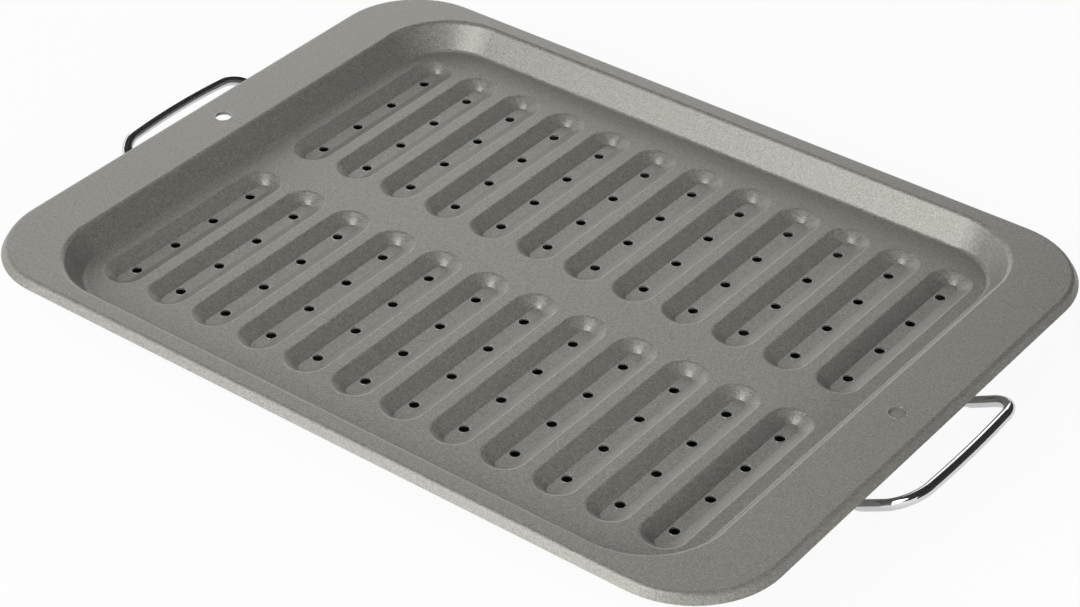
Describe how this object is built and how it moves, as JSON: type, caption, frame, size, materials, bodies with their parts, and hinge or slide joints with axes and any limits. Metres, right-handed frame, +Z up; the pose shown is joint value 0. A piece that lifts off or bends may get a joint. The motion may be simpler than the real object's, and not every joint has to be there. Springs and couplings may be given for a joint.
{
  "type": "broiler pan",
  "caption": "Oven broiler pan: a shallow slotted and drilled tray nests in a drip pan that has a chrome wire handle riveted to each end",
  "frame": {"origin": "middle of the underside of the drip pan, on the surface that the set stands on", "axes": "+X along the length to the end without a hanging hole in the drip pan, +Y across the width to the back, +Z up out of the dish"},
  "size_m": [0.4512, 0.3112, 0.04],
  "materials": {
    "coated_steel": "fine-grained mid-grey non-stick coating, satin",
    "chrome_wire": "polished chrome plate",
    "rivet_steel": "plain bright steel"
  },
  "bodies": {
    "root": {"broil_tray": "coated_steel", "drip_pan": "coated_steel", "handle_left": "chrome_wire", "handle_right": "chrome_wire", "rivet_left_front": "rivet_steel", "rivet_left_back": "rivet_steel", "rivet_right_front": "rivet_steel", "rivet_right_back": "rivet_steel"}
  },
  "joints": []
}
